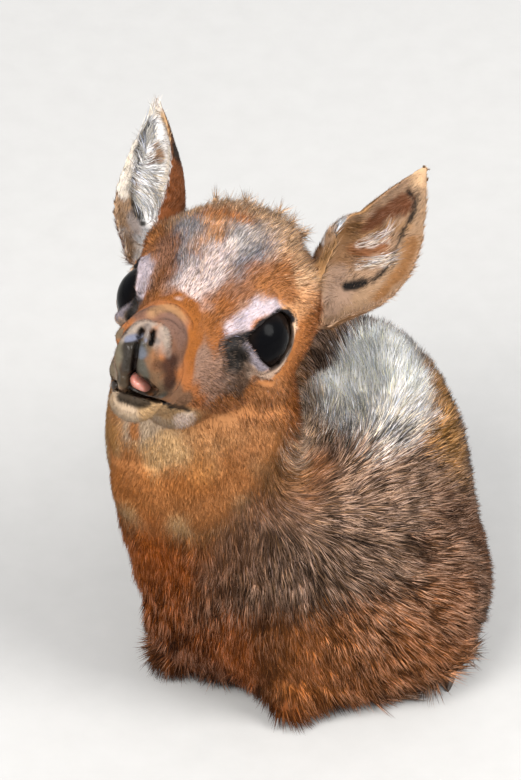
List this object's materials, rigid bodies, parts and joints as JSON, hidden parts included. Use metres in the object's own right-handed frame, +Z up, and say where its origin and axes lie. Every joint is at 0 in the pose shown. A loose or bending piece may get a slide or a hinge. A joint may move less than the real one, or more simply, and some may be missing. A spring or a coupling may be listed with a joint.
{
  "type": "dik dik fawn lying down",
  "caption": "Very young dik dik lying curled on the ground, head raised and turned, ears spread, legs folded under the body, coat included in the outline.",
  "frame": {"origin": "on the ground under the middle of the bounding box", "axes": "+Z up; -Y is the side that the animal looks to; +X is the animal's left as the head faces"},
  "size_m": [0.1242, 0.153, 0.1673],
  "materials": {
    "coat_face": "short rufous coat with a silver-grey forehead",
    "coat_throat": "short pale orange to cream coat",
    "coat_body": "fluffy grizzled brown coat",
    "coat_legs": "short rufous-brown coat",
    "ear_skin": "thin bare skin with fine hair",
    "eye": "wet and glossy",
    "tongue": "moist",
    "hoof": "dark horn"
  },
  "bodies": {
    "root": {"head": "coat_face", "lower_jaw": "coat_throat", "neck": "coat_throat", "torso": "coat_body", "foreleg_left": "coat_legs", "foreleg_right": "coat_legs", "hindleg_left": "coat_legs", "hindleg_right": "coat_legs", "tail": "coat_body", "ear_left": "ear_skin", "ear_right": "ear_skin", "eye_left": "eye", "eye_right": "eye", "tongue": "tongue", "hoof_foreleg_left_inner": "hoof", "hoof_foreleg_left_outer": "hoof", "hoof_foreleg_right_inner": "hoof", "hoof_foreleg_right_outer": "hoof", "hoof_hindleg_left_inner": "hoof", "hoof_hindleg_left_outer": "hoof", "hoof_hindleg_right_inner": "hoof", "hoof_hindleg_right_outer": "hoof"}
  },
  "joints": []
}
